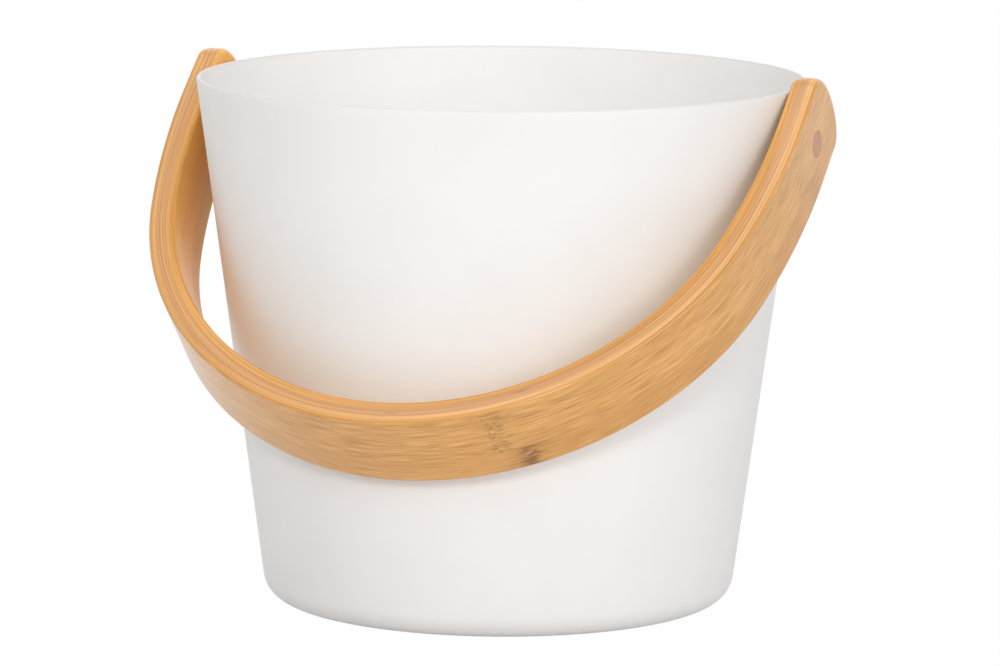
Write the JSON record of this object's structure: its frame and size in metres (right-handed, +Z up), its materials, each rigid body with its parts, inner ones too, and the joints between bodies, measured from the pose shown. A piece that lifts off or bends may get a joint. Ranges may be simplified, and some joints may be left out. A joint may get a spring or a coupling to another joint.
{
  "type": "sauna bucket",
  "caption": "White lacquered conical metal pail with a swinging bail of bent laminated bamboo, for carrying water to the sauna stove.",
  "frame": {"origin": "centre of the flat base, on the ground", "axes": "+Z up along the bucket's axis, X along the bail's pivot axis, -Y to the front, where the bail hangs"},
  "size_m": [0.2534, 0.2439, 0.2048],
  "materials": {
    "white_lacquer": "satin",
    "bamboo_light": "satin",
    "bamboo_tan": "satin",
    "plug_wood": "satin",
    "stainless_steel": "satin",
    "ivory_nylon": "matte"
  },
  "bodies": {
    "bucket": {"bucket_shell": "white_lacquer", "pivot_bolt_left": "stainless_steel", "pivot_bolt_right": "stainless_steel", "wall_spacer_left": "ivory_nylon", "wall_spacer_right": "ivory_nylon", "inner_washer_left": "ivory_nylon", "inner_washer_right": "ivory_nylon", "cap_nut_left": "stainless_steel", "cap_nut_right": "stainless_steel"},
    "handle": {"handle_inner_lamella": "bamboo_light", "handle_middle_lamella": "bamboo_tan", "handle_outer_lamella": "bamboo_light", "dowel_plug_left": "plug_wood", "dowel_plug_right": "plug_wood", "pivot_bush_left": "stainless_steel", "pivot_bush_right": "stainless_steel"}
  },
  "joints": [
    {"name": "handle_swing", "type": "hinge", "parent": "bucket", "child": "handle", "pos_m": [0, 0, 0.1809], "axis": [-1, 0, 0], "range_deg": [0, 264.7]}
  ]
}
